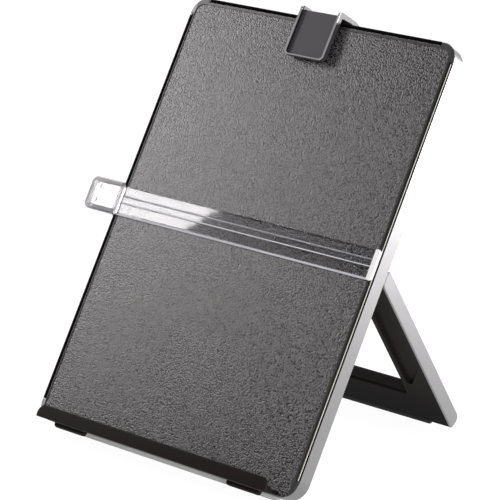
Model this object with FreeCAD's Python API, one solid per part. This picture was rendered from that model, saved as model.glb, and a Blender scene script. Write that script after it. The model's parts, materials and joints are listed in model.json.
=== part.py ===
import FreeCAD, Part
import math
import os

# A desktop copy holder. A thin board with a textured face leans back on a fold-out leg frame
# and carries a ledge at its foot, a clear line guide that slides up and down in side tracks,
# and a sprung clip that slides along the top rim.
#
# The board is first drawn upright: x runs to the right, n out of its front face (the face's
# border is n = 0) and u up along it from its bottom edge. The leg is drawn about its pivot, n
# out of its front face and s down its length. stand() then leans everything back onto z = 0,
# with the origin at the middle of the front foot strip.

V = FreeCAD.Vector

# ---- driving dimensions, mm and degrees
TILT = 33.3                 # lean of the board from upright
BOARD_W = 228.0
BOARD_H = 320.0
BOARD_D = 14.1
CORNER_R = 14.0
LEG_OPEN = 66.4             # angle between the folded and the standing leg
LEG_LENGTH = 148.0          # from the pivot to the foot
LEG_T = 10.8
ARM_W = 27.2
CROSSBAR_H = 30.0
GUIDE_U = 162.5             # middle of the line guide
GUIDE_H = 21.4
CLIP_X = 0.0                # middle of the clip
CLIP_W = 33.9
LEDGE_W = 202.0

# ---- walls and fits
PLATE_T = 1.5               # front panel
BAND_T = 1.2                # silver band round the edge
BACK_T = 2.3                # back cover
GAP = 0.3                   # between parts that slide past each other
BORE_FIT = 0.05             # radial clearance of a hinge pin
SLOT_W = 1.1                # slot between the panel's edge and a side rim
TOP_SLOT_W = 1.0

# ---- front panel
SIDE_IN = 3.1               # how far the panel's side edges stand back between its ears
TOP_IN = 2.5
EAR_LOW = 13.7
EAR_HIGH = 307.0
EAR_TOP_X = 100.0
EAR_IN = 0.4                # the ears stand this far back from the band
EAR_R = 12.0
FIELD_IN = 1.2              # from the panel's side edge to the textured field
FIELD_LOW = 1.2
FIELD_TOP = 315.2
FIELD_R_LOW = 1.5
FIELD_R_TOP = 6.0
FIELD_DEPTH = 0.6
EDGE_BEVEL = 0.8

# ---- side rims, below the panel's face
RIM_CREST = -0.5
RIM_FLANGE = -1.2

# ---- rib frame inside the board
FRAME_HALF = 102.5
RIB_T = 1.6
RIB_COLUMNS = 5
RIB_ROWS = 8

# ---- leg and its hinge
PIVOT_U = 156.0
PIVOT_N = -20.6
PIN_R = 2.5
PIN_END = 100.0
HINGE_STOP_GAP = 0.05       # the standing leg's heel is this far off the back cover
BRACKET_IN = 78.2
BRACKET_OUT = 86.0
BRACKET_FOOT = 13.0         # half height of the bracket where it meets the back cover
WASHER_T = 0.5
WASHER_R = 4.8
HUB_LENGTH = 12.0           # solid part of an arm round the pin
DISH_DEPTH = 2.5
DISH_RIM = 4.6
DISH_LOW_OUT = 86.0
DISH_LOW_IN = 112.0
POCKET_DEPTH = 6.0
POCKET_WALL = 2.2
ARM_CELLS = 4
BAR_CELLS = 7

# ---- foot strips
FOOT_LIFT = 0.8             # lowest plastic edge above the table
FOOT_FLAT = 2.0             # height of the flat that the strip sits against
FOOT_HALF = 96.0
FOOT_SLACK = 0.1
LEG_FOOT_FRONT = -0.5       # the leg's strip stays clear of the folded leg's gap

# ---- ledge
LEDGE_REACH = 14.5
LEDGE_T = 2.2
LEDGE_TOP = 8.7
LEDGE_UNDER = -0.8          # underside at the lip
LEDGE_RISE = 0.15           # rise of the floor per unit towards the board
LUG_IN = 63.8
LUG_OUT = 90.3
LUG_UNDER = -3.35

# ---- line guide
BAR_BACK = 0.3
BAR_FRONT = 1.7
RIDGE_U = (160.9, 165.8)
RIDGE_H = 0.5
JAW_IN = 109.2
JAW_OUT = 113.4
JAW_BACK = 0.3
JAW_FRONT = 2.3
JAW_BEVEL = 0.5
FOOT_PLATE_T = 0.5          # thin web that passes down the slot
FOOT_HOOK = 3.6             # how far the foot reaches behind the panel
FOOT_HALF_H = 8.5
GRIP_OUT = 141.5
GRIP_LOW = 151.6
GRIP_HIGH = 175.6
GRIP_RIM = 3.5
GRIP_T = 2.6
GRIP_DEPTH = 1.2
GRIP_BEVEL = 0.9
SKIRT_BACK = -7.0

# ---- clip
SADDLE_HALF = 9.0
CLIP_PIVOT_N = -17.6
CLIP_PIVOT_U = 320.5
CLIP_PIN_R = 1.0
KNUCKLE_R = 2.2
CLIP_LIP_U = 288.9
CLIP_TOP_U = 326.2
CLIP_LIP_N = 6.6            # front of the flanges at the lip and at the bend
CLIP_BEND_N = 5.6
CLIP_FLANGE = 1.5           # side flanges and how far the face is sunk between them
CLIP_SUNK = 2.4
CLIP_FOOT_RIM = 1.2
SPRING_WIRE_R = 0.35
SPRING_COIL_R = 1.55
SPRING_TURNS = 5
SPRING_RUNS = 12            # straight runs in a turn
SPRING_FIXED_TAIL = 1.9
SPRING_FREE_TAIL = 2.2

# ---- worked out from the above
HALF_W = BOARD_W / 2
BAND_IN = HALF_W - BAND_T
PANEL_EDGE = HALF_W - SIDE_IN
PANEL_TOP = BOARD_H - TOP_IN
RIM_IN = PANEL_EDGE + SLOT_W
BACK_IN = BACK_T - BOARD_D
ARM_IN = HALF_W - ARM_W
LEAN = math.radians(TILT)
OPEN = math.radians(LEG_OPEN)


# ---------------------------------------------------------------- drawing helpers
def wire(corners, place):
    """Closed wire through (a, b, radius) corners, rounded by arcs; place(a, b) gives the point."""
    ends = []
    for i, (a, b, r) in enumerate(corners):
        here = V(a, b, 0)
        back = V(*corners[i - 1][:2], 0).sub(here).normalize()
        ahead = V(*corners[(i + 1) % len(corners)][:2], 0).sub(here).normalize()
        if r == 0:
            ends.append((here, None, here))
            continue
        half = back.getAngle(ahead) / 2
        reach = r / math.tan(half)
        middle = here + (back + ahead).normalize() * (r / math.sin(half) - r)
        ends.append((here + back * reach, middle, here + ahead * reach))
    edges = []
    for i, (start, middle, stop) in enumerate(ends):
        if middle is not None:
            arc = Part.Arc(*(place(p.x, p.y) for p in (start, middle, stop)))
            edges.append(arc.toShape())
        follow = ends[(i + 1) % len(ends)][0]
        if stop.distanceToPoint(follow) > 1e-6:
            line = Part.LineSegment(place(stop.x, stop.y), place(follow.x, follow.y))
            edges.append(line.toShape())
    return Part.Wire(edges)


def across(corners, x0, x1):
    """Profile of (n, u, radius) corners drawn out along x."""
    outline = wire(corners, lambda n, u: V(x0, -n, u))
    return Part.Face(outline).extrude(V(x1 - x0, 0, 0))


def through(corners, n0, n1):
    """Profile of (x, u, radius) corners drawn out along n."""
    outline = wire(corners, lambda x, u: V(x, -n0, u))
    return Part.Face(outline).extrude(V(0, n0 - n1, 0))


def upward(corners, u0, u1):
    """Profile of (x, n, radius) corners drawn out along u."""
    outline = wire(corners, lambda x, n: V(x, -n, u0))
    return Part.Face(outline).extrude(V(0, 0, u1 - u0))


def block(x0, x1, n0, n1, u0, u1):
    """Plain box between the given x, n and u."""
    return Part.makeBox(x1 - x0, n1 - n0, u1 - u0, V(x0, -n1, u0))


def slab(half, u0, u1, r, n0, n1):
    """Plate with all four corners rounded."""
    corners = [(-half, u0, r), (half, u0, r), (half, u1, r), (-half, u1, r)]
    return through(corners, n0, n1)


def rod(r, x0, x1, n, u):
    """Cylinder along x."""
    return Part.makeCylinder(r, x1 - x0, V(x0, -n, u), V(1, 0, 0))


def mirrored(shape):
    """The same shape on the other side of the board."""
    return shape.mirror(V(0, 0, 0), V(1, 0, 0))


def chosen(shape, test):
    """Edges of a shape whose bounding box passes the test."""
    return [edge for edge in shape.Edges if test(edge.BoundBox)]


def stand(shape):
    """Leans an upright shape back and sets the board's foot on the table."""
    placed = shape.copy()
    placed.rotate(V(0, 0, 0), V(1, 0, 0), -TILT)
    back_y = BOARD_D * math.cos(LEAN)
    back_z = -BOARD_D * math.sin(LEAN)
    front, rear = foot_reach()
    placed.translate(V(0, -back_y - (front + rear) / 2, FOOT_LIFT - back_z))
    return placed


def open_leg(shape):
    """Turns a shape drawn about the leg's pivot out to the standing pose and places it."""
    turned = shape.copy()
    turned.rotate(V(0, 0, 0), V(1, 0, 0), LEG_OPEN)
    turned.translate(V(0, -PIVOT_N, PIVOT_U))
    return stand(turned)


# ---------------------------------------------------------------- foot strips
def foot_reach():
    """How far a foot strip reaches to the front and rear of the edge that it protects."""
    front = -FOOT_FLAT / math.tan(LEAN) + FOOT_SLACK
    rear = FOOT_FLAT * math.tan(LEAN) - FOOT_SLACK
    return front, rear


def foot_strip(edge_y, front, rear):
    """Rubber strip under an edge at edge_y, flat on the table."""
    height = FOOT_LIFT + FOOT_FLAT
    half = FOOT_HALF - FOOT_SLACK
    strip = Part.makeBox(2 * half, rear - front, height, V(-half, edge_y + front, 0))
    ends = [e for e in strip.Edges if abs(e.BoundBox.ZLength - height) < 1e-6]
    return strip.makeFillet(1.2, ends)


def flat_for_foot(shape, edge_y):
    """Cuts the flat that a foot strip sits against."""
    reach = 4 * FOOT_FLAT
    height = FOOT_LIFT + FOOT_FLAT
    corner = V(-FOOT_HALF, edge_y - reach, 0)
    return shape.cut(Part.makeBox(2 * FOOT_HALF, 2 * reach, height, corner))


def board_edge_y():
    """y of the board's lowest edge, once it stands."""
    front, rear = foot_reach()
    return -(front + rear) / 2


def leg_edge_y():
    """y of the leg's lowest edge, once it stands."""
    return open_leg(Part.Vertex(0, -LEG_T / 2, -LEG_LENGTH)).Point.y


# ---------------------------------------------------------------- board
def front_panel():
    """Textured plate with four ears that run out over the band."""
    plate = slab(HALF_W - EAR_IN, 0, BOARD_H, EAR_R, -PLATE_T, 0)
    notch = block(PANEL_EDGE, HALF_W + 1, -PLATE_T - 1, 1, EAR_LOW, EAR_HIGH)
    top = block(-EAR_TOP_X, EAR_TOP_X, -PLATE_T - 1, 1, PANEL_TOP, BOARD_H + 1)
    plate = plate.cut([notch, mirrored(notch), top])
    rim = chosen(plate, lambda box: abs(box.YMin) < 1e-4 and abs(box.YMax) < 1e-4)
    plate = plate.makeChamfer(EDGE_BEVEL, rim)
    half = PANEL_EDGE - FIELD_IN
    field = [(-half, FIELD_LOW, FIELD_R_LOW), (half, FIELD_LOW, FIELD_R_LOW),
             (half, FIELD_TOP, FIELD_R_TOP), (-half, FIELD_TOP, FIELD_R_TOP)]
    return plate.cut(through(field, -FIELD_DEPTH, 1))


def side_band():
    """Silver band round the board's edge, with a bevelled rear edge."""
    outer = slab(HALF_W, 0, BOARD_H, CORNER_R, -BOARD_D, -PLATE_T)
    rear = chosen(outer, lambda box: box.YMin > BOARD_D - 1e-3)
    outer = outer.makeChamfer(0.7, rear)
    inner_r = CORNER_R - BAND_T
    inner = slab(BAND_IN, BAND_T, BOARD_H - BAND_T, inner_r, -BOARD_D - 1, 1)
    return outer.cut(inner)


def back_cover():
    """Flat back of the board inside the band."""
    inner_r = CORNER_R - BAND_T
    return slab(BAND_IN, BAND_T, BOARD_H - BAND_T, inner_r, -BOARD_D, BACK_IN)


def rib_frame():
    """Lattice between the panel and the back cover; its outer walls back the side tracks."""
    low, high = 4.0, 315.0
    frame = block(-FRAME_HALF, FRAME_HALF, BACK_IN, -PLATE_T, low, high)
    cell_w = (2 * FRAME_HALF - RIB_T) / RIB_COLUMNS
    cell_h = (high - low - RIB_T) / RIB_ROWS
    cells = []
    for column in range(RIB_COLUMNS):
        x = -FRAME_HALF + RIB_T + column * cell_w
        for row in range(RIB_ROWS):
            u = low + RIB_T + row * cell_h
            cells.append(block(x, x + cell_w - RIB_T, BACK_IN - 1, 0, u, u + cell_h - RIB_T))
    return frame.cut(cells)


def side_rim():
    """Right-hand rim of the guide's track: a bevelled crest and a flange over the band."""
    foot = RIM_IN + RIM_CREST - RIM_FLANGE
    profile = [(RIM_IN, BACK_IN, 0), (BAND_IN, BACK_IN, 0), (BAND_IN, -PLATE_T, 0),
               (HALF_W, -PLATE_T, 0), (HALF_W, RIM_FLANGE, 0), (foot, RIM_FLANGE, 0),
               (RIM_IN, RIM_CREST, 0)]
    return upward(profile, CORNER_R, BOARD_H - CORNER_R)


def top_rim():
    """Rim over the top slot; the clip hooks behind it."""
    front = -0.5
    slot = PANEL_TOP + TOP_SLOT_W
    under = BOARD_H - BAND_T
    floor = -PLATE_T - 0.2
    profile = [(front, slot, 0), (front, BOARD_H, 0.5), (-PLATE_T, BOARD_H, 0),
               (-PLATE_T, under, 0), (BACK_IN, under, 0), (BACK_IN, slot - 2, 0),
               (floor, slot - 2, 0), (floor, slot, 0)]
    reach = EAR_TOP_X - GAP
    return across(profile, -reach, reach)


def ledge_under(n):
    """Height of the ledge's sloping underside at a distance out of the face."""
    return LEDGE_UNDER + LEDGE_RISE * (LEDGE_REACH - n)


def ledge():
    """Trough across the foot of the board, seated in the field; the lip's ends are rounded."""
    inside = LEDGE_REACH - LEDGE_T
    root = -FIELD_DEPTH
    profile = [(root, ledge_under(root), 0), (LEDGE_REACH, LEDGE_UNDER, 1.2),
               (LEDGE_REACH, LEDGE_TOP, 1.0), (inside, LEDGE_TOP, 1.0),
               (inside, ledge_under(inside) + LEDGE_T, 3.0), (root, ledge_under(root) + LEDGE_T, 0)]
    half = LEDGE_W / 2
    trough = across(profile, -half, half)
    ends = [(-half, LEDGE_UNDER - 1, 0), (half, LEDGE_UNDER - 1, 0),
            (half, LEDGE_TOP, 6.5), (-half, LEDGE_TOP, 6.5)]
    return trough.common(through(ends, root - 1, LEDGE_REACH + 1))


def ledge_lug():
    """Right-hand keeper under the ledge: a round-nosed bar with rounded ends."""
    front, rear = 5.6, 0.4
    profile = [(front, ledge_under(front), 0), (front - 0.4, LUG_UNDER, 2.0),
               (rear + 1.4, LUG_UNDER, 1.2), (rear, ledge_under(rear), 0)]
    ends = [(LUG_IN, LUG_UNDER, 1.8), (LUG_OUT, LUG_UNDER, 1.8), (LUG_OUT, 5, 0), (LUG_IN, 5, 0)]
    return across(profile, LUG_IN, LUG_OUT).common(through(ends, -1, 9))


# ---------------------------------------------------------------- leg hinge
def leg_bracket():
    """Right-hand hinge bracket on the back cover."""
    tip = PIVOT_N - LEG_T / 2
    foot = -BOARD_D
    low = PIVOT_U - BRACKET_FOOT
    high = PIVOT_U + BRACKET_FOOT
    profile = [(foot, low, 0), (foot, high, 0), (foot - 1.5, high, 1),
               (tip, PIVOT_U + 5.6, 5), (tip, PIVOT_U - 5.6, 5), (foot - 1.5, low, 1)]
    bracket = across(profile, BRACKET_IN, BRACKET_OUT)
    return bracket.cut(rod(PIN_R, BRACKET_IN - 1, BRACKET_OUT + 1, PIVOT_N, PIVOT_U))


def leg_pin():
    """Right-hand steel pin, with a head inside the bracket."""
    pin = rod(PIN_R, BRACKET_IN, PIN_END - 1, PIVOT_N, PIVOT_U)
    return pin.fuse(rod(PIN_R + 1.3, BRACKET_IN - 1.4, BRACKET_IN, PIVOT_N, PIVOT_U))


def leg_washer():
    """Friction washer between the bracket and the arm."""
    end = BRACKET_OUT + WASHER_T
    ring = rod(WASHER_R, BRACKET_OUT, end, PIVOT_N, PIVOT_U)
    return ring.cut(rod(PIN_R, BRACKET_OUT, end, PIVOT_N, PIVOT_U))


# ---------------------------------------------------------------- leg
def leg_profile():
    """Side outline of the leg; its heel lies along the board's back when the leg stands.

    The heel's front corner is rounded so that it clears the back while the leg folds.
    """
    half = LEG_T / 2
    heel = -BOARD_D - HINGE_STOP_GAP - PIVOT_N
    front_heel = (heel - half * math.cos(OPEN)) / math.sin(OPEN)
    back_heel = (heel + half * math.cos(OPEN)) / math.sin(OPEN)
    rolling = (half - heel * math.cos(OPEN)) / (1 - math.cos(OPEN))
    return [(half, front_heel, rolling), (-half, back_heel, 2.0),
            (-half, -LEG_LENGTH, 5.0), (half, -LEG_LENGTH, 2.5)]


def arm_dish():
    """Recess in the front of the right-hand arm, ending in a slanted step."""
    x0 = ARM_IN + DISH_RIM
    x1 = BAND_IN - DISH_RIM
    corners = [(x0, -HUB_LENGTH, 3), (x1, -HUB_LENGTH, 3),
               (x1, -DISH_LOW_OUT, 5), (x0, -DISH_LOW_IN, 3)]
    return through(corners, LEG_T / 2 - DISH_DEPTH, LEG_T)


def pockets(x0, x1, s0, s1, columns, rows):
    """Grid of moulding pockets in the rear of the leg, with ribs between them."""
    wide = (x1 - x0 - POCKET_WALL * (columns + 1)) / columns
    tall = (s1 - s0 - POCKET_WALL * (rows + 1)) / rows
    cells = []
    for column in range(columns):
        x = x0 + POCKET_WALL + column * (wide + POCKET_WALL)
        for row in range(rows):
            s = s0 + POCKET_WALL + row * (tall + POCKET_WALL)
            rear = -LEG_T / 2
            cells.append(block(x, x + wide, rear - 1, rear + POCKET_DEPTH, -s - tall, -s))
    return cells


def leg_frame():
    """Two arms and a foot bar in one moulding, dished in front and ribbed behind."""
    bar_top = LEG_LENGTH - CROSSBAR_H
    body = across(leg_profile(), -BAND_IN, BAND_IN)
    window = [(-ARM_IN, 20, 0), (ARM_IN, 20, 0), (ARM_IN, -bar_top, 2.5),
              (-ARM_IN, -bar_top, 2.5)]
    body = body.cut(through(window, -LEG_T, LEG_T))

    def on_bar_top(box):
        return abs(box.ZMin + bar_top) < 1e-3 and box.ZLength < 1e-3 and box.XLength > 10

    body = body.makeFillet(1.6, chosen(body, on_bar_top))
    dish = arm_dish()
    bore = rod(PIN_R + BORE_FIT, ARM_IN - 1, PIN_END, 0, 0)
    arm_cells = pockets(ARM_IN, BAND_IN, HUB_LENGTH, bar_top, 1, ARM_CELLS)
    bar_cells = pockets(-BAND_IN, BAND_IN, bar_top, LEG_LENGTH - 3, BAR_CELLS, 1)
    cuts = [dish, mirrored(dish), bore, mirrored(bore)]
    cuts += arm_cells + [mirrored(cell) for cell in arm_cells] + bar_cells
    return body.cut(cuts)


def leg_trim():
    """Right-hand silver face of the leg."""
    trim = across(leg_profile(), BAND_IN, HALF_W)
    outer = chosen(trim, lambda box: box.XMin > HALF_W - 1e-3 and box.ZLength > 50)
    return trim.makeChamfer(0.5, outer)


# ---------------------------------------------------------------- line guide
def guide_bar():
    """Clear strip with two raised reading lines and a bevelled lower edge."""
    low = GUIDE_U - GUIDE_H / 2
    high = GUIDE_U + GUIDE_H / 2
    profile = [(BAR_BACK, low, 0), (BAR_BACK + 0.4, low, 0), (BAR_FRONT, low + 1.8, 0.6)]
    for ridge in RIDGE_U:
        profile += [(BAR_FRONT, ridge - 0.7, 0), (BAR_FRONT + RIDGE_H, ridge - 0.2, 0),
                    (BAR_FRONT + RIDGE_H, ridge + 0.2, 0), (BAR_FRONT, ridge + 0.7, 0)]
    profile += [(BAR_FRONT, high, 0.9), (BAR_BACK, high, 0)]
    return across(profile, -JAW_IN, JAW_IN)


def guide_jaw():
    """Right-hand end of the guide, a raised cap over the track with rounded ends."""
    low = GUIDE_U - GUIDE_H / 2
    high = GUIDE_U + GUIDE_H / 2
    corners = [(JAW_IN, low, 1.2), (JAW_OUT, low, 2.2), (JAW_OUT, high, 2.2), (JAW_IN, high, 1.2)]
    cap = through(corners, JAW_BACK, JAW_FRONT)
    front = chosen(cap, lambda box: box.YMax < 1e-3 - JAW_FRONT)
    return cap.makeChamfer(JAW_BEVEL, front)


def guide_foot():
    """Right-hand foot: a web down the slot and a hook behind the panel's edge."""
    mid = PANEL_EDGE + SLOT_W / 2
    x0 = mid - FOOT_PLATE_T / 2
    x1 = mid + FOOT_PLATE_T / 2
    top = -PLATE_T - GAP
    bottom = top - 1.2
    profile = [(x0, JAW_BACK, 0), (x1, JAW_BACK, 0), (x1, bottom, 0.4),
               (x0 - FOOT_HOOK, bottom, 0.4), (x0 - FOOT_HOOK, top, 0.4), (x0, top, 0)]
    return upward(profile, GUIDE_U - FOOT_HALF_H, GUIDE_U + FOOT_HALF_H)


def guide_grip():
    """Thumb tab beyond the left edge: a shallow tray with a raised rim and two small pips."""
    tray_back = JAW_FRONT - GRIP_T
    front = JAW_FRONT - 0.2
    corners = [(-GRIP_OUT, GRIP_LOW, 5), (-JAW_OUT, GRIP_LOW, 0),
               (-JAW_OUT, GRIP_HIGH, 0), (-GRIP_OUT, GRIP_HIGH, 5)]
    tray = through(corners, tray_back, front)
    outer = chosen(tray, lambda box: box.YMax < 1e-3 - front and box.XMax < 0.01 - JAW_OUT)
    tray = tray.makeChamfer(GRIP_BEVEL, [edge for edge in outer if edge.BoundBox.XLength > 0.1
                                         or edge.BoundBox.XMin < 0.01 - GRIP_OUT])
    inset = [(-GRIP_OUT + GRIP_RIM, GRIP_LOW + GRIP_RIM, 2.5), (-JAW_OUT - 1, GRIP_LOW + GRIP_RIM, 1),
             (-JAW_OUT - 1, GRIP_HIGH - GRIP_RIM, 1), (-GRIP_OUT + GRIP_RIM, GRIP_HIGH - GRIP_RIM, 2.5)]
    floor = front - GRIP_DEPTH
    tray = tray.cut(through(inset, floor, front + 1))
    pip_x = -GRIP_OUT + 9.0
    pips = [Part.makeCone(1.4, 0.9, 0.8, V(pip_x, -floor, GUIDE_U + du), V(0, -1, 0))
            for du in (-3.5, 7.0)]
    return tray.fuse(pips)


def guide_skirt():
    """Hollow lower half of the thumb tab, beside the board's edge."""
    x0 = -GRIP_OUT + GRIP_RIM
    x1 = -HALF_W - 1.4
    low = GRIP_LOW
    high = GRIP_HIGH - 2
    top = JAW_FRONT - GRIP_T
    corners = [(x0, low, 3), (x1, low, 1), (x1, high, 1), (x0, high, 3)]
    wall = 1.8
    inside = [(x0 + wall, low + wall, 1.5), (x1 - wall, low + wall, 0.5),
              (x1 - wall, high - wall, 0.5), (x0 + wall, high - wall, 1.5)]
    return through(corners, SKIRT_BACK, top).cut(through(inside, SKIRT_BACK - 1, top - wall))


# ---------------------------------------------------------------- clip
def clip_saddle():
    """Carriage that straddles the top rim: a hook in the slot, a web over the top, a rear leg."""
    slot = PANEL_TOP + TOP_SLOT_W / 2
    hook_low = slot - 0.25
    hook_high = slot + 0.25
    web_low = BOARD_H + GAP
    web_high = web_low + 1.2
    front = 0.6
    rear_in = -BOARD_D - GAP
    rear_out = rear_in - 1.2
    profile = [(-PLATE_T + GAP, hook_low, 0), (front, hook_low, 0.3), (front, web_high, 1.0),
               (rear_out, web_high, 1.0), (rear_out, web_high - 14, 0),
               (rear_in, web_high - 14, 0), (rear_in, web_low, 0),
               (-0.5 + GAP, web_low, 0), (-0.5 + GAP, hook_high, 0),
               (-PLATE_T + GAP, hook_high, 0)]
    saddle = across(profile, CLIP_X - SADDLE_HALF, CLIP_X + SADDLE_HALF)
    knuckles = []
    for side in (-1, 1):
        x0 = CLIP_X + side * (SADDLE_HALF - 1.5) - 1.5
        boss = rod(KNUCKLE_R, x0, x0 + 3, CLIP_PIVOT_N, CLIP_PIVOT_U)
        web = block(x0, x0 + 3, CLIP_PIVOT_N, rear_out, CLIP_PIVOT_U - 2, CLIP_PIVOT_U + 1)
        knuckles += [boss, web]
    saddle = saddle.fuse(knuckles).removeSplitter()
    reach = SADDLE_HALF + 1
    return saddle.cut(rod(CLIP_PIN_R, CLIP_X - reach, CLIP_X + reach, CLIP_PIVOT_N, CLIP_PIVOT_U))


def clip_shell():
    """Side outline of the clip: front plate, flat bend over the rim and rear thumb plate."""
    return [(CLIP_LIP_N, CLIP_LIP_U, 1.2), (CLIP_BEND_N, CLIP_TOP_U, 3.0), (-16.0, 326.8, 6.0),
            (-22.6, 325.0, 5.0), (-25.0, 297.0, 1.0), (-22.8, 297.0, 1.0),
            (-20.4, 323.9, 3.5), (-10.0, 323.6, 4.0), (1.3, 322.5, 0.8),
            (CLIP_LIP_N - 4.0, CLIP_LIP_U, 1.2)]


def clip_dish(x0, x1):
    """What is taken from the clip's face and bend between its flanges."""
    low = CLIP_LIP_U + CLIP_FOOT_RIM
    top = CLIP_TOP_U - CLIP_SUNK
    far = 345.0
    profile = [(CLIP_LIP_N - CLIP_SUNK, low, 0), (CLIP_BEND_N - CLIP_SUNK, top, 1.0),
               (-12.0, top + 1.6, 0), (-14.0, far, 0), (30.0, far, 0), (30.0, low, 0)]
    left = x0 + CLIP_FLANGE
    right = x1 - CLIP_FLANGE
    outline = [(left, low, 2.8), (right, low, 2.8), (right, far, 0), (left, far, 0)]
    return across(profile, left, right).common(through(outline, -20, 40))


def clip_lever():
    """Bent clip: a flanged channel in front, and two knuckles for its pin behind."""
    x0 = CLIP_X - CLIP_W / 2
    x1 = CLIP_X + CLIP_W / 2
    plate = across(clip_shell(), x0, x1)
    ends = [(x0, CLIP_LIP_U, 4), (x1, CLIP_LIP_U, 4), (x1, 340, 0), (x0, 340, 0)]
    front = through(ends, 0, 20)
    rear_ends = [(x0, 297, 4), (x1, 297, 4), (x1, 340, 0), (x0, 340, 0)]
    rear = through(rear_ends, -30, 0)
    plate = plate.common(front.fuse(rear)).cut(clip_dish(x0, x1))
    knuckles = []
    bores = []
    for side in (-1, 1):
        x = CLIP_X + side * (SADDLE_HALF + GAP + 1.5) - 1.5
        boss = rod(KNUCKLE_R, x, x + 3, CLIP_PIVOT_N, CLIP_PIVOT_U)
        web = block(x, x + 3, -21.4, CLIP_PIVOT_N, CLIP_PIVOT_U - KNUCKLE_R, CLIP_PIVOT_U + KNUCKLE_R)
        knuckles += [boss, web]
        bore = rod(CLIP_PIN_R + BORE_FIT, x - 1, x + 4, CLIP_PIVOT_N, CLIP_PIVOT_U)
        bores.append(bore)
    return plate.fuse(knuckles).removeSplitter().cut(bores)


def clip_grip(lever):
    """Rubber rib inside the lip; it stands just off the panel when the clip is shut."""
    profile = [(0.25, 290.6, 0.9), (0.25, 293.2, 0.9), (3.4, 293.6, 0), (3.4, 290.2, 0)]
    return across(profile, CLIP_X - 12, CLIP_X + 12).cut(lever)


def clip_pin():
    """Hinge pin of the clip."""
    reach = SADDLE_HALF + GAP + 3.2
    return rod(CLIP_PIN_R, CLIP_X - reach, CLIP_X + reach, CLIP_PIVOT_N, CLIP_PIVOT_U)


def clip_spring():
    """Torsion spring of square wire round the pin, from the saddle to the thumb plate."""
    length = 2 * (SADDLE_HALF - 3) - 1.6
    runs = SPRING_TURNS * SPRING_RUNS
    points = []
    for step in range(runs + 1):
        angle = 2 * math.pi * step / SPRING_RUNS
        points.append(V(SPRING_COIL_R * math.cos(angle), SPRING_COIL_R * math.sin(angle),
                        length * step / runs))
    way = V(0, 2 * math.pi * SPRING_COIL_R * SPRING_TURNS, length).normalize()
    fixed = points[0] - way * SPRING_FIXED_TAIL
    free = points[-1] + way * SPRING_FREE_TAIL
    path = Part.makePolygon([fixed] + points + [free])
    aside = way.cross(V(0, 0, 1)).normalize() * SPRING_WIRE_R
    turn = FreeCAD.Rotation(way, 90)
    rim = [fixed + aside]
    for _ in range(4):
        aside = turn.multVec(aside)
        rim.append(fixed + aside)
    mitred = 1
    spring = path.makePipeShell([Part.makePolygon(rim)], True, True, mitred)
    spring.rotate(V(0, 0, 0), V(0, 1, 0), 90)
    spring.translate(V(CLIP_X - length / 2, -CLIP_PIVOT_N, CLIP_PIVOT_U))
    return spring


# ---------------------------------------------------------------- assembly
def both(name, shape, place):
    """The right-hand piece and its mirror image, placed."""
    return {f"{name}_right": place(shape), f"{name}_left": place(mirrored(shape))}


def build():
    """Every piece by its node name."""
    parts = {
        "front_panel": stand(front_panel()),
        "side_band": flat_for_foot(stand(side_band()), board_edge_y()),
        "back_cover": flat_for_foot(stand(back_cover()), board_edge_y()),
        "rib_frame": stand(rib_frame()),
        "top_rim": stand(top_rim()),
        "ledge": stand(ledge()),
        "leg_frame": flat_for_foot(open_leg(leg_frame()), leg_edge_y()),
        "guide_bar": stand(guide_bar()),
        "guide_grip": stand(guide_grip()),
        "guide_skirt": stand(guide_skirt()),
        "clip_saddle": stand(clip_saddle()),
        "clip_pin": stand(clip_pin()),
        "clip_spring": stand(clip_spring()),
    }
    parts.update(both("side_rim", side_rim(), stand))
    parts.update(both("ledge_lug", ledge_lug(), stand))
    parts.update(both("leg_bracket", leg_bracket(), stand))
    parts.update(both("leg_pin", leg_pin(), stand))
    parts.update(both("leg_washer", leg_washer(), stand))
    parts.update(both("leg_trim", leg_trim(), open_leg))
    parts.update(both("guide_jaw", guide_jaw(), stand))
    parts.update(both("guide_foot", guide_foot(), stand))
    lever = clip_lever()
    parts["clip_lever"] = stand(lever)
    parts["clip_grip"] = stand(clip_grip(lever))
    front, rear = foot_reach()
    parts["base_foot"] = foot_strip(board_edge_y(), front, rear)
    parts["leg_foot"] = foot_strip(leg_edge_y(), LEG_FOOT_FRONT, -front)
    return parts


def main():
    os.makedirs("parts", exist_ok=True)
    for name, shape in build().items():
        solids = shape.Solids
        if not shape.isValid() or len(solids) != 1:
            raise ValueError(f"{name}: {len(solids)} solids, valid {shape.isValid()}")
        solids[0].exportStep(f"parts/{name}.step")
        box = shape.BoundBox
        print(f"{name:18s} {shape.Volume:10.1f} mm3  z {box.ZMin:7.2f} {box.ZMax:7.2f}")


main()
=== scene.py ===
"""Finishes a desk copy holder: moulded, painted and clear plastics, screws, studio and camera."""

import json
import math

import bmesh
import bpy
import numpy as np
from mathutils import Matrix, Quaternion, Vector


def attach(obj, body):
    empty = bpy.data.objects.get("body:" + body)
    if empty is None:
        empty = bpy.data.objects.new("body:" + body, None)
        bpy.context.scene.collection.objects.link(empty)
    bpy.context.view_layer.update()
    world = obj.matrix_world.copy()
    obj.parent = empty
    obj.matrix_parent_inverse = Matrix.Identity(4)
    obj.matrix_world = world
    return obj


bl_info = {
    "name": "Copy Holder Finishes",
    "version": (1, 0, 0),
    "blender": (4, 5, 0),
    "location": "View3D > Sidebar > Copy Holder",
    "description": "Dresses the packed copy holder and sets its studio and camera",
    "category": "Object",
}

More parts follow.
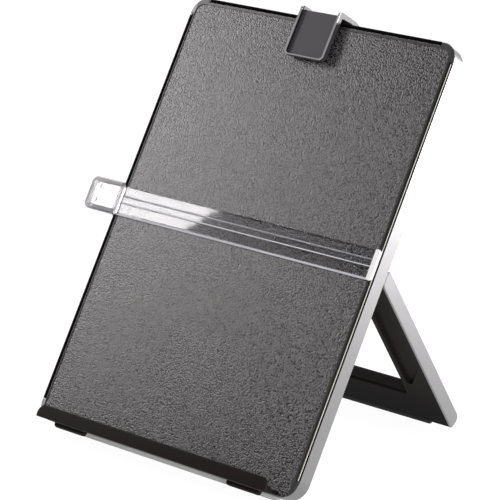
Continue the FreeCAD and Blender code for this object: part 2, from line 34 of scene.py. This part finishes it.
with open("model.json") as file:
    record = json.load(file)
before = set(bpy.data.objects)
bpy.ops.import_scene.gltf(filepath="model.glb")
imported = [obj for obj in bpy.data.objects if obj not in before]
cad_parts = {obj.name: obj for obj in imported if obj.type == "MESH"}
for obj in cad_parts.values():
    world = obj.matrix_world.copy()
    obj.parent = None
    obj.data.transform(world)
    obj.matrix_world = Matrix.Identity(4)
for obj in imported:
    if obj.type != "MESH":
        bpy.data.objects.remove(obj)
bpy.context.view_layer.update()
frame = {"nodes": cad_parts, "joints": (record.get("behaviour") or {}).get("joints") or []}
NODES = frame["nodes"]
JOINTS = {joint["name"]: joint for joint in frame["joints"]}

# The board leans back. Places on it are in metres: x runs across it from its middle, n comes out
# of its face and u runs up along it from its lower edge.
_, LEAN_SIN, LEAN_COS = JOINTS["guide_slide"]["axis"]
_, PIVOT_Y, PIVOT_Z = JOINTS["leg_fold"]["pos_m"]
PIVOT_U = 0.156                     # the leg's pivot on the board
PIVOT_N = -0.0206
ORIGIN_Y = PIVOT_Y - (PIVOT_U * LEAN_SIN - PIVOT_N * LEAN_COS)
ORIGIN_Z = PIVOT_Z - (PIVOT_U * LEAN_COS + PIVOT_N * LEAN_SIN)

# ---- panel and right-hand rim
BEVEL_X = 0.1101                    # where the panel's side bevels start
FIELD_N = (-0.0009, -0.0004)        # the sunk field lies between these
RIM_HIGHLIGHT = (0.1124, 0.11275)        # the painted highlight at the foot of the rim's bevel

# ---- clip
FACE_N = 0.0046                     # the flanges and their rims stand before this
CREST_N = 0.0066                    # front of the rims at their lower end
CREST_U = 0.2889                    # where that end is
CREST_FALL = 0.0268                 # how much closer to the board they come per metre up it
CREST_TOP = 0.3240                  # where they stop
CREST_DEPTH = 0.00035               # depth of the painted highlight along the crests
FLANGE_DEPTH = 0.0021               # depth of a flange's inner face
FLANGE_X = 0.0156                   # just outside the flanges' inner faces
HOLLOW_WIDTH = 0.0008               # width of the painted shade inside the left flange

# ---- leg: heights over the table over which the painted shade at its foot fades out
LEG_FADE = (0.010, 0.055)

# ---- line guide
GUIDE_U = 0.1625                    # its middle
READING_LINES = ((0.1609, 0.95), (0.1658, 0.45))    # the ridges: place and strength of their painted highlight
RIDGE_N = 0.0019                    # the ridges stand before this
RIDGE_HALF = 0.0002                 # half width of the painted highlight on a crest
EDGE_BELOW = 0.0094                 # the painted highlight on the lower edge starts this far below the middle
EDGE_HIGHLIGHT = 0.45
TAB_X = -0.1382                     # the thumb tab's clear middle: where its left side is,
TAB_BELOW = 0.0072                  # and how far it reaches below and above the guide's middle
TAB_ABOVE = 0.0096

# ---- back screws; the parts of a head are shares of its radius
BOARD_BACK = -0.0141                # outer face of the back cover
SCREW_X = (-0.072, 0.072)
SCREW_U = (0.026, 0.200, 0.292)
SCREW_GRID = (24, 64)               # rings and spokes of a head
HEAD_PROUD = 0.00002                # how far its edge stands out of the cover
HEAD_SINK = 0.0015                  # how far its cone goes into the cover
CONE_FOOT = 0.55                    # radius of the cone's lower end
CROWN_RISE = 0.12
CROSS_HALF = 0.16                   # half width of an arm of the cross, and how it fades
CROSS_FADE = 0.07
CROSS_REACH = 0.62                  # length of an arm, and how it fades
REACH_FADE = 0.12

# ---- studio
LAMP_COLOUR = (1.0, 0.965, 0.975)
ROOM_EDGE = 0.4                     # how far round the dim room fades into the white behind
FLOOR_GLOW = 1.06                   # the floor's own light, and its share of what is seen
GLOW_SEEN = 0.9                     # by the camera and through clear plastic, and mirrored
GLOW_MIRRORED = 0.7
SENSOR = 36.0                       # mm
CLIP_RANGE = (0.05, 50.0)           # what the camera sees, metres

# Soft boxes: name, the setting of their power, place, way they face, roll in degrees and size.
LAMPS = (
    ("key_box", "key", (-1.015, -0.343, 0.775), (0.0, LEAN_COS, -LEAN_SIN), 40.0, (0.6, 0.8)),
    ("hair_box", "hair", (-0.72, 0.75, 0.84), (0.6, -0.546, -0.585), 0.0, (0.5, 0.5)),
    ("right_strip", "strip", (1.264, -0.776, 0.74), (-0.79, 0.485, -0.3725), 0.0, (0.22, 1.3)),
    ("back_box", "back", (0.50, 0.68, 0.17), (-0.54, -0.70, 0.03), 0.0, (0.45, 0.3)),
)


def on_board(x, n, u):
    """Places on the board to the frame's x, y, z: u and n turned by the lean, then shifted."""
    y = u * LEAN_SIN - n * LEAN_COS + ORIGIN_Y
    z = u * LEAN_COS + n * LEAN_SIN + ORIGIN_Z
    return np.stack([x + 0 * y, y, z], axis=-1)


# ------------------------------------------------------------------ shader helpers
class Value:
    """A shader output that Python arithmetic can be done on; each operation is a Math node."""

    def __init__(self, graph, socket):
        self.graph = graph
        self.socket = socket

    def _math(self, operation, *values):
        return self.graph.node("ShaderNodeMath", {"operation": operation}, values)

    def __add__(self, other):
        return self._math("ADD", self, other)

    def __sub__(self, other):
        return self._math("SUBTRACT", self, other)

    def __mul__(self, other):
        return self._math("MULTIPLY", self, other)

    def __radd__(self, other):
        return self._math("ADD", other, self)

    def __rsub__(self, other):
        return self._math("SUBTRACT", other, self)

    def __rmul__(self, other):
        return self._math("MULTIPLY", other, self)

    def __gt__(self, other):
        return self._math("GREATER_THAN", self, other)

    def __lt__(self, other):
        return self._math("LESS_THAN", self, other)

    def clamp(self):
        return self.graph.node("ShaderNodeClamp", {}, {"Value": self})


class Graph:
    """The node tree of a material, or of the world."""

    def __init__(self, name, world=None):
        self.material = world or bpy.data.materials.new(name)
        self.material.use_nodes = True
        self.tree = self.material.node_tree
        self.tree.nodes.clear()
        self.place = self.node("ShaderNodeTexCoord", {}, {}, "Generated" if world else "Object")

    def node(self, kind, settings, inputs, output=0):
        """Adds a node of a type with its settings and socket values, and returns one output."""
        made = self.tree.nodes.new(kind)
        for key, value in settings.items():
            setattr(made, key, value)
        pairs = inputs.items() if isinstance(inputs, dict) else enumerate(inputs)
        for key, value in pairs:
            self._feed(made.inputs[key], value)
        return Value(self, made.outputs[output]) if made.outputs else None

    def _feed(self, socket, value):
        if isinstance(value, Value):
            self.tree.links.new(value.socket, socket)
        else:
            socket.default_value = value

    def noise(self, scale, detail, roughness, place=None):
        """Smooth noise, scale in cycles per metre."""
        inputs = {"Vector": place or self.place, "Scale": scale, "Detail": detail,
                  "Roughness": roughness}
        return self.node("ShaderNodeTexNoise", {}, inputs)

    def cells(self, scale):
        """Distance to the nearest cell point, scale in cells per metre."""
        inputs = {"Vector": self.place, "Scale": scale}
        return self.node("ShaderNodeTexVoronoi", {}, inputs, "Distance")

    def blend(self, factor, first, second):
        """Mixes two colours; sockets 6 and 7 of a Mix node are its colours."""
        inputs = {0: factor, 6: first, 7: second}
        return self.node("ShaderNodeMix", {"data_type": "RGBA"}, inputs, 2)

    def along(self, direction, shift=0.0):
        """Distance along a direction from a plane: the dot product with it, less shift."""
        inputs = {0: self.place, 1: direction}
        made = self.node("ShaderNodeVectorMath", {"operation": "DOT_PRODUCT"}, inputs, "Value")
        return made - shift

    def fade(self, value, start, stop, low=0.0, high=1.0):
        """Smooth step of a value from low at start to high at stop."""
        inputs = {"Value": value, "From Min": start, "From Max": stop, "To Min": low,
                  "To Max": high}
        return self.node("ShaderNodeMapRange", {"interpolation_type": "SMOOTHSTEP"}, inputs)

    def ray(self, kind):
        """1 for rays of a kind, such as Camera, and 0 for others."""
        return self.node("ShaderNodeLightPath", {}, {}, f"Is {kind} Ray")

    def bump(self, height, distance, strength):
        """Normal that a height over the surface gives."""
        inputs = {"Height": height, "Distance": distance, "Strength": strength}
        return self.node("ShaderNodeBump", {}, inputs)

    def shader(self, **sockets):
        """A Principled shader; names use _ for spaces."""
        inputs = {name.replace("_", " "): value for name, value in sockets.items()}
        return self.node("ShaderNodeBsdfPrincipled", {}, inputs)

    def end(self, shader):
        """Joins a shader to the material's output."""
        self.node("ShaderNodeOutputMaterial", {}, {"Surface": shader})
        return self.material

    def principled(self, **sockets):
        """Ends the tree in one Principled shader."""
        return self.end(self.shader(**sockets))


def grey(level, tint=(0.0, 0.0, 0.0)):
    """A colour with alpha from one level and a small tint."""
    return (level + tint[0], level + tint[1], level + tint[2], 1.0)


def board_x(graph):
    """Distance across the board from its middle, metres."""
    return graph.along((1, 0, 0))


def board_n(graph):
    """Distance out of the board's face, metres."""
    return graph.along((0, -LEAN_COS, LEAN_SIN), ORIGIN_Z * LEAN_SIN - ORIGIN_Y * LEAN_COS)


def board_u(graph):
    """Height along the board, metres."""
    return graph.along((0, LEAN_SIN, LEAN_COS), ORIGIN_Y * LEAN_SIN + ORIGIN_Z * LEAN_COS)


# ------------------------------------------------------------------ finishes
def pebbled_panel(finish):
    """Front panel: smooth satin border with a painted highlight on its left bevel, matt right
    bevel, and a pebble grain on the sunk field.
    """
    graph = Graph("pebbled_panel")
    n = board_n(graph)
    x = board_x(graph)
    right_bevel = x > BEVEL_X
    left_bevel = x < -BEVEL_X
    field = (n < FIELD_N[1]) * (n > FIELD_N[0]) * (1.0 - right_bevel) * (1.0 - left_bevel)
    grain = graph.noise(1000.0, 0.5, 0.5)
    tone = ((grain - 0.44) * 9.0).clamp()
    wide = graph.noise(14.0, 2.0, 0.5)
    dark = grey(0.0005, (0.0005, 0.0, 0.0))
    light = grey(finish.panel_level * 2.9, (0.003, 0.0, 0.001))
    speckle = graph.blend(tone, dark, light)
    # painted highlight: the left bevel is pale grey, the rest of the border near black
    border = graph.blend(left_bevel, grey(0.012), grey(0.2))
    colour = graph.blend(field, border, speckle)
    rough = 0.38 + field * (tone * 0.05 + wide * 0.03 - 0.12) + right_bevel * 0.4
    return graph.principled(
        Base_Color=colour, Roughness=rough, Specular_IOR_Level=0.8,
        Normal=graph.bump(grain * field, 0.00032, 1.0))


def fine_moulded(name, level, rough, shine):
    """Satin moulded plastic with a spark-eroded grain."""
    graph = Graph(name)
    grit = graph.noise(2600.0, 3.0, 0.6)
    wide = graph.noise(22.0, 3.0, 0.5)
    colour = graph.blend(wide, grey(level * 0.85), grey(level * 1.2))
    return graph.principled(
        Base_Color=colour, Roughness=rough - 0.05 + wide * 0.1 + grit * 0.04,
        Specular_IOR_Level=shine, Normal=graph.bump(grit, 0.00003, 0.8))


def rim_plastic():
    """Polished black plastic of the right-hand rim, with a painted highlight in a thin line at the
    foot of its bevel.
    """
    graph = Graph("rim_black")
    smear = graph.noise(60.0, 4.0, 0.65)
    x = board_x(graph)
    # painted highlight: a pale cream line across the lower half of the bevel
    line = (x > RIM_HIGHLIGHT[0]) * (x < RIM_HIGHLIGHT[1])
    black = graph.blend(smear, grey(0.0054), grey(0.0075))
    colour = graph.blend(line, black, grey(0.70, (0.04, 0.02, -0.08)))
    return graph.principled(
        Base_Color=colour, Roughness=0.22 + smear * 0.06 + line * 0.2, Specular_IOR_Level=0.4)


def ledge_plastic():
    """Polished black plastic with faint handling marks."""
    graph = Graph("ledge_black")
    smear = graph.noise(60.0, 4.0, 0.65)
    hair = graph.noise(900.0, 2.0, 0.7)
    tint = (0.003, 0.0, 0.0)
    colour = graph.blend(smear, grey(0.0063, tint), grey(0.00875, tint))
    return graph.principled(
        Base_Color=colour, Roughness=0.34 + smear * 0.06 + hair * 0.03,
        Specular_IOR_Level=0.1, Normal=graph.bump(hair, 0.000006, 0.5))


def clip_plastic():
    """Black plastic: satin on the clip's face and polished on the flanges before it, with a
    painted highlight along their crests and painted shade inside the left flange."""
    graph = Graph("clip_black")
    smear = graph.noise(60.0, 4.0, 0.65)
    hair = graph.noise(900.0, 2.0, 0.7)
    n, u = board_n(graph), board_u(graph)
    x = board_x(graph)
    rim = n > FACE_N
    crest = CREST_N - (u - CREST_U) * CREST_FALL
    # painted highlight along the crests of the flanges
    edge = (n > crest - CREST_DEPTH) * (u < CREST_TOP)
    # painted shade: near black on the inner wall of the left flange
    hollow_shade = (n > crest - FLANGE_DEPTH) * (x > -FLANGE_X) * (x < HOLLOW_WIDTH - FLANGE_X)
    hollow_shade = hollow_shade * (1.0 - edge)
    tint = (0.003, 0.0, 0.004)
    face = graph.blend(smear, grey(0.040, tint), grey(0.048, tint))
    colour = graph.blend(edge, graph.blend(hollow_shade, face, grey(0.001)), grey(0.25))
    return graph.principled(
        Base_Color=colour, Roughness=0.46 + smear * 0.06 - rim * 0.3 + hollow_shade * 0.4,
        Specular_IOR_Level=0.38, Normal=graph.bump(hair, 0.000006, 0.5))


def leg_plastic():
    """Black moulded plastic, a little browner and lighter up the arms, with painted shade making
    it darker towards the foot bar.
    """
    graph = Graph("leg_black")
    height = graph.fade(graph.along((0, 0, 1)), *LEG_FADE)
    grit = graph.noise(2200.0, 3.0, 0.6)
    # painted shade: darkest near the table, lighter higher up the arms
    colour = graph.blend(height, grey(0.0035, (0.001, 0.0, 0.0)), grey(0.013, (0.004, 0.001, 0.0)))
    return graph.principled(
        Base_Color=colour, Roughness=0.5 + grit * 0.04, Specular_IOR_Level=0.04,
        Normal=graph.bump(grit, 0.00003, 0.8))


def silver_paint(finish):
    """Silver-grey painted plastic: fine flake over a satin base."""
    graph = Graph("silver_paint")
    flake = graph.cells(9000.0)
    cloud = graph.noise(30.0, 3.0, 0.5)
    level = finish.silver_level
    colour = graph.blend(flake, grey(level * 0.94), grey(level * 1.05, (0, 0, 0.006)))
    return graph.principled(
        Base_Color=colour, Metallic=0.72 + flake * 0.15,
        Roughness=0.32 + cloud * 0.06 + flake * 0.04,
        Normal=graph.bump(flake, 0.000008, 0.6))


def clear_plastic(finish):
    """Clear styrene with drawn streaks and handling marks, and a pale, rough, opaque painted
    highlight mixed in along the crests of its two reading lines and its lower edge."""
    graph = Graph("clear_plastic")
    drawn = graph.node("ShaderNodeVectorMath", {"operation": "MULTIPLY"},
                       {0: graph.place, 1: (0.05, 1.0, 1.0)})
    streak = graph.noise(420.0, 4.0, 0.6, drawn)
    flow = graph.noise(30.0, 2.0, 0.5)
    marks = graph.noise(700.0, 3.0, 0.7)
    u = board_u(graph)
    crest = board_n(graph) > RIDGE_N
    # painted highlight: share of the pale opaque shader on the lower edge and the ridge crests
    highlight_share = (u < GUIDE_U - EDGE_BELOW) * EDGE_HIGHLIGHT
    for ridge, share in READING_LINES:
        highlight_share = highlight_share + crest * (u > ridge - RIDGE_HALF) * (u < ridge + RIDGE_HALF) * share
    colour = graph.blend(flow, (0.955, 0.955, 0.975, 1), (0.985, 0.985, 0.995, 1))
    clear = graph.shader(
        Base_Color=colour, Roughness=0.01 + streak * streak * 0.05 + marks * 0.01,
        IOR=finish.clear_ior, Transmission_Weight=1.0,
        Normal=graph.bump(flow * 2.5 + streak * 0.08, 0.00004, 0.5))
    painted_highlight = graph.shader(
        Base_Color=grey(0.86, (0.0, 0.0, 0.07)), Roughness=0.4, IOR=finish.clear_ior)
    return graph.end(graph.node("ShaderNodeMixShader", {}, {0: highlight_share, 1: clear, 2: painted_highlight}))


def clear_tab(finish):
    """Clear styrene with painted shade: its thick rim, along the tab's free edges, is coloured
    grey.
    """
    graph = Graph("clear_tab")
    u = board_u(graph)
    inside = (board_x(graph) > TAB_X) * (u > GUIDE_U - TAB_BELOW) * (u < GUIDE_U + TAB_ABOVE)
    flow = graph.noise(120.0, 3.0, 0.5)
    # painted shade: grey on the rim, nearly white in the clear middle
    rim = graph.blend(flow, grey(0.20), grey(0.34, (0.0, 0.0, 0.01)))
    middle = graph.blend(flow, grey(0.78), grey(0.97))
    return graph.principled(
        Base_Color=graph.blend(inside, rim, middle), Roughness=0.42 - inside * 0.34 + flow * 0.06,
        IOR=finish.clear_ior, Transmission_Weight=1.0, Normal=graph.bump(flow, 0.0002, 0.4))


def frosted_jaw(finish):
    """The same plastic made pale and nearly opaque, with a fine grain: a painted highlight for the
    right-hand jaw.
    """
    graph = Graph("frosted_jaw")
    grit = graph.noise(1800.0, 3.0, 0.6)
    # painted highlight: pale grey, passing little light
    colour = graph.blend(grit, grey(0.86), grey(0.95))
    return graph.principled(
        Base_Color=colour, Roughness=0.2 + grit * 0.12, IOR=finish.clear_ior,
        Transmission_Weight=0.15, Normal=graph.bump(grit, 0.00003, 0.6))


def plated_steel():
    """Zinc-plated steel with turned marks."""
    graph = Graph("plated_steel")
    turned = graph.noise(1500.0, 2.0, 0.7)
    colour = graph.blend(turned, grey(0.45), grey(0.6, (0.01, 0.005, 0)))
    return graph.principled(
        Base_Color=colour, Metallic=1.0, Roughness=0.28 + turned * 0.12,
        Normal=graph.bump(turned, 0.00001, 0.5))


def soft_rubber(name, low, high):
    """Matt rubber with a dusty bloom between two levels."""
    graph = Graph(name)
    bloom = graph.noise(150.0, 4.0, 0.7)
    grit = graph.noise(3000.0, 2.0, 0.5)
    colour = graph.blend(bloom, grey(low), grey(high))
    return graph.principled(
        Base_Color=colour, Roughness=0.78 + bloom * 0.1,
        Normal=graph.bump(grit, 0.00004, 0.8))


def paint_nodes(material, *names):
    """Gives CAD nodes one material."""
    for name in names:
        slots = NODES[name].data.materials
        slots.clear()
        slots.append(material)


def pair(name):
    """Both hands of a node's name."""
    return name + "_left", name + "_right"


# ------------------------------------------------------------------ new surfaces
def grid_faces(rows, columns):
    """Quads over a grid of vertices, each between two rows and two columns; the last column is
    joined to the first."""
    r, c = np.meshgrid(np.arange(rows - 1), np.arange(columns), indexing="ij")
    following = (c + 1) % columns
    quads = np.stack([r * columns + c, r * columns + following,
                      (r + 1) * columns + following, (r + 1) * columns + c], axis=-1)
    return quads.reshape(-1, 4)


def add_surface(name, points, faces, material, body):
    """Makes a closed mesh object from arrays, gives it its finish and rides it on a body."""
    mesh = bpy.data.meshes.new(name)
    mesh.from_pydata(points.reshape(-1, 3), [], faces)
    shell = bmesh.new()
    shell.from_mesh(mesh)
    bmesh.ops.remove_doubles(shell, verts=shell.verts, dist=0.000001)
    bmesh.ops.recalc_face_normals(shell, faces=shell.faces)
    shell.to_mesh(mesh)
    shell.free()
    mesh.polygons.foreach_set("use_smooth", np.full(len(mesh.polygons), True))
    mesh.update()
    piece = bpy.data.objects.new(name, mesh)
    bpy.context.scene.collection.objects.link(piece)
    mesh.materials.append(material)
    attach(piece, body)


def screw_head(x, u, radius, depth):
    """Countersunk head on a polar grid, from the middle of its crown out to the edge, down its
    cone and back in to the middle below. The crown is a shallow bowl turned over, and a cross is
    sunk where either arm is near."""
    rings, spokes = SCREW_GRID
    t = np.concatenate([np.linspace(0.0, 1.0, rings - 2), [CONE_FOOT, 0.0]])[:, None]
    below = (np.arange(rings) >= rings - 2)[:, None]
    angle = np.linspace(0.0, 2 * np.pi, spokes, endpoint=False)[None, :]
    r = radius * t
    a, b = r * np.cos(angle), r * np.sin(angle)
    arm = np.minimum(np.abs(a), np.abs(b))
    near = np.clip((radius * CROSS_HALF - arm) / (radius * CROSS_FADE), 0, 1)
    inside = np.clip((radius * CROSS_REACH - r) / (radius * REACH_FADE), 0, 1)
    crown = CROWN_RISE * radius * (1 - t ** 2)
    height = np.where(below, -HEAD_SINK, crown - depth * near * inside)
    return on_board(x + a, BOARD_BACK - HEAD_PROUD - height, u + b)


# ------------------------------------------------------------------ settings
class HolderFinish(bpy.types.PropertyGroup):
    """Colours and levels of the finishes."""

    panel_level: bpy.props.FloatProperty(
        name="Panel level", description="Base grey of the pebbled field", default=0.028,
        min=0.0, max=1.0, subtype="FACTOR")
    silver_level: bpy.props.FloatProperty(
        name="Silver level", description="Base grey of the painted edge", default=0.24,
        min=0.0, max=1.0, subtype="FACTOR")
    clear_ior: bpy.props.FloatProperty(
        name="Clear IOR", description="Refractive index of the clear plastic", default=1.57,
        min=1.0, max=2.0)


class HolderDetail(bpy.types.PropertyGroup):
    """Sizes of the small fasteners."""

    screw_radius: bpy.props.FloatProperty(
        name="Screw radius", description="Radius of a back screw's head", default=0.0029,
        min=0.0, unit="LENGTH", precision=5)
    screw_depth: bpy.props.FloatProperty(
        name="Cross depth", description="Depth of the screw's cross", default=0.0009,
        min=0.0, unit="LENGTH", precision=5)


class HolderStudio(bpy.types.PropertyGroup):
    """Lamps, floor and camera."""

    lens: bpy.props.FloatProperty(
        name="Lens", description="Focal length on a 36 mm sensor", default=178.56, min=1.0,
        unit="CAMERA")
    azimuth: bpy.props.FloatProperty(
        name="Azimuth", description="Turn of the camera round the holder",
        default=math.radians(39.30), subtype="ANGLE")
    elevation: bpy.props.FloatProperty(
        name="Elevation", description="Height angle of the camera",
        default=math.radians(18.64), subtype="ANGLE")
    camera_x: bpy.props.FloatProperty(
        name="Camera across", description="Camera's place across the board", default=1.0157,
        unit="LENGTH")
    camera_n: bpy.props.FloatProperty(
        name="Camera out", description="Camera's place out of the board's face",
        default=1.3193, unit="LENGTH")
    camera_u: bpy.props.FloatProperty(
        name="Camera up", description="Camera's place up along the board", default=-0.075,
        unit="LENGTH")
    floor_size: bpy.props.FloatProperty(
        name="Floor", description="Width of the floor", default=12.0, unit="LENGTH")
    sky: bpy.props.FloatProperty(
        name="Sky", description="Level of the soft light from all round", default=0.65)
    front_sky: bpy.props.FloatProperty(
        name="Front sky", default=0.1,
        description="Level that gloss mirrors from the camera's side of the room")
    key: bpy.props.FloatProperty(
        name="Key", description="Power of the large soft box", default=11.0, unit="POWER")
    strip: bpy.props.FloatProperty(
        name="Strip", description="Power of the right-hand strip", default=12.0, unit="POWER")
    hair: bpy.props.FloatProperty(
        name="Hair", description="Power of the high box behind the left-hand side",
        default=8.0, unit="POWER")
    back: bpy.props.FloatProperty(
        name="Back", description="Power of the low box behind the right-hand side",
        default=9.0, unit="POWER")


# ------------------------------------------------------------------ operators
class HOLDER_OT_board(bpy.types.Operator):
    """Finish the board, and every silver, steel and rubber piece"""

    bl_idname = "holder.board"
    bl_label = "Finish Board"

    def execute(self, context):
        finish = context.scene.holder_finish
        paint_nodes(pebbled_panel(finish), "front_panel")
        paint_nodes(silver_paint(finish), "side_band", *pair("leg_trim"))
        paint_nodes(rim_plastic(), "side_rim_right")
        paint_nodes(fine_moulded("rim_matt", 0.004, 0.8, 0.03), "top_rim", "side_rim_left")
        paint_nodes(ledge_plastic(), "ledge", *pair("ledge_lug"))
        paint_nodes(fine_moulded("back_black", 0.022, 0.5, 0.5), "back_cover", "rib_frame",
                    *pair("leg_bracket"))
        paint_nodes(plated_steel(), *pair("leg_pin"), *pair("leg_washer"), "clip_pin",
                    "clip_spring")
        paint_nodes(soft_rubber("soft_rubber", 0.012, 0.03), "clip_grip", "leg_foot")
        paint_nodes(soft_rubber("pale_rubber", 0.78, 0.86), "base_foot")
        return {"FINISHED"}


class HOLDER_OT_leg(bpy.types.Operator):
    """Finish the leg frame"""

    bl_idname = "holder.leg"
    bl_label = "Finish Leg"

    def execute(self, context):
        paint_nodes(leg_plastic(), "leg_frame")
        return {"FINISHED"}


class HOLDER_OT_guide(bpy.types.Operator):
    """Finish the clear line guide"""

    bl_idname = "holder.guide"
    bl_label = "Finish Guide"

    def execute(self, context):
        finish = context.scene.holder_finish
        paint_nodes(clear_plastic(finish), "guide_bar", "guide_skirt", "guide_jaw_left",
                    *pair("guide_foot"))
        paint_nodes(clear_tab(finish), "guide_grip")
        # the right-hand jaw gets a painted highlight
        paint_nodes(frosted_jaw(finish), "guide_jaw_right")
        return {"FINISHED"}


class HOLDER_OT_clip(bpy.types.Operator):
    """Finish the clip and its saddle"""

    bl_idname = "holder.clip"
    bl_label = "Finish Clip"

    def execute(self, context):
        paint_nodes(clip_plastic(), "clip_lever")
        paint_nodes(fine_moulded("saddle_black", 0.008, 0.4, 0.2), "clip_saddle")
        return {"FINISHED"}


class HOLDER_OT_screws(bpy.types.Operator):
    """Add the screws that hold the back cover, once the board is finished"""

    bl_idname = "holder.screws"
    bl_label = "Add Screws"

    def execute(self, context):
        detail = context.scene.holder_detail
        steel = bpy.data.materials["plated_steel"]
        faces = grid_faces(*SCREW_GRID)
        places = [(x, u) for x in SCREW_X for u in SCREW_U]
        for index, (x, u) in enumerate(places):
            points = screw_head(x, u, detail.screw_radius, detail.screw_depth)
            add_surface(f"back_screw_{index + 1}", points, faces, steel, "board")
        return {"FINISHED"}


class HOLDER_OT_studio(bpy.types.Operator):
    """Set the floor, sky, lamps and camera"""

    bl_idname = "holder.studio"
    bl_label = "Set Studio"

    def execute(self, context):
        scene = context.scene
        studio = scene.holder_studio
        scene.view_settings.view_transform = "Standard"
        self.set_sky(scene, studio)
        self.add_floor(scene, studio)
        for name, setting, place, facing, roll, size in LAMPS:
            self.add_lamp(scene, name, getattr(studio, setting), place, facing, roll, size)
        self.add_camera(scene, studio)
        return {"FINISHED"}

    def set_sky(self, scene, studio):
        """Even pale light. Gloss and clear plastic see white behind and a dim room in front."""
        world = bpy.data.worlds.new("studio_sky")
        scene.world = world
        graph = Graph("studio_sky", world)
        seen = graph.ray("Camera")
        mirrored = (graph.ray("Glossy") + graph.ray("Transmission")).clamp()
        room = graph.fade(graph.along((0.0, 1.0, 0.0)), 0.0, ROOM_EDGE, studio.front_sky, 1.0)
        level = studio.sky + mirrored * (room - studio.sky)
        level = level + seen * (1.0 - level)
        back = graph.node("ShaderNodeBackground", {}, {"Strength": level})
        graph.node("ShaderNodeOutputWorld", {}, {"Surface": back})

    def add_floor(self, scene, studio):
        """Pale floor that melts into the white backdrop but keeps the shadow."""
        graph = Graph("pale_floor")
        speck = graph.noise(3.0, 2.0, 0.5)
        colour = graph.blend(speck, grey(0.86), grey(0.88))
        matt = graph.node("ShaderNodeBsdfDiffuse", {}, {"Color": colour})
        glow = graph.node("ShaderNodeEmission", {}, {"Strength": FLOOR_GLOW})
        direct = (graph.ray("Camera") + graph.ray("Transmission")).clamp()
        share = direct * GLOW_SEEN + graph.ray("Glossy") * (1.0 - direct) * GLOW_MIRRORED
        graph.end(graph.node("ShaderNodeMixShader", {}, {0: share, 1: matt, 2: glow}))
        half = studio.floor_size / 2
        corners = np.array([[-half, -half, 0], [half, -half, 0], [half, half, 0],
                            [-half, half, 0]])
        mesh = bpy.data.meshes.new("floor")
        mesh.from_pydata(corners, [], [(0, 1, 2, 3)])
        mesh.materials.append(graph.material)
        floor = bpy.data.objects.new("floor", mesh)
        scene.collection.objects.link(floor)

    def add_lamp(self, scene, name, power, place, facing, roll, size):
        """Rectangular soft box at a place, shining along a direction, turned about it by roll."""
        lamp = bpy.data.lights.new(name, "AREA")
        lamp.shape = "RECTANGLE"
        lamp.size, lamp.size_y = size
        lamp.energy = power
        lamp.color = LAMP_COLOUR
        holder = bpy.data.objects.new(name, lamp)
        scene.collection.objects.link(holder)
        holder.location = place
        holder.rotation_mode = "QUATERNION"
        turn = Vector(facing).to_track_quat("-Z", "Y")
        holder.rotation_quaternion = turn @ Quaternion((0.0, 0.0, 1.0), math.radians(roll))
        holder.visible_camera = False

    def add_camera(self, scene, studio):
        """Camera at its place before the board, level and turned to the holder."""
        data = bpy.data.cameras.new("studio_camera")
        data.sensor_width = SENSOR
        data.lens = studio.lens
        data.clip_start, data.clip_end = CLIP_RANGE
        camera = bpy.data.objects.new("studio_camera", data)
        scene.collection.objects.link(camera)
        place = on_board(np.array(studio.camera_x), studio.camera_n, studio.camera_u)
        camera.location = place.tolist()
        camera.rotation_euler = (math.pi / 2 - studio.elevation, 0.0, studio.azimuth)
        scene.camera = camera


STEPS = (HOLDER_OT_board, HOLDER_OT_leg, HOLDER_OT_guide, HOLDER_OT_clip, HOLDER_OT_screws,
         HOLDER_OT_studio)


class HOLDER_PT_panel(bpy.types.Panel):
    """Sidebar list of the copy holder's steps"""

    bl_idname = "HOLDER_PT_panel"
    bl_label = "Copy Holder"
    bl_space_type = "VIEW_3D"
    bl_region_type = "UI"
    bl_category = "Copy Holder"

    def draw(self, context):
        for step in STEPS:
            self.layout.operator(step.bl_idname)
        for group in GROUPS:
            settings = getattr(context.scene, group)
            box = self.layout.box()
            for name in settings.__annotations__:
                box.prop(settings, name)


GROUPS = {"holder_finish": HolderFinish, "holder_detail": HolderDetail,
          "holder_studio": HolderStudio}


def register():
    for name, group in GROUPS.items():
        bpy.utils.register_class(group)
        setattr(bpy.types.Scene, name, bpy.props.PointerProperty(type=group))
    for step in STEPS:
        bpy.utils.register_class(step)
    bpy.utils.register_class(HOLDER_PT_panel)


def unregister():
    bpy.utils.unregister_class(HOLDER_PT_panel)
    for step in reversed(STEPS):
        bpy.utils.unregister_class(step)
    for name, group in GROUPS.items():
        delattr(bpy.types.Scene, name)
        bpy.utils.unregister_class(group)


def main():
    register()
    bpy.ops.holder.board()
    bpy.ops.holder.leg()
    bpy.ops.holder.guide()
    bpy.ops.holder.clip()
    bpy.ops.holder.screws()
    bpy.ops.holder.studio()


if __name__ == "__main__":
    main()
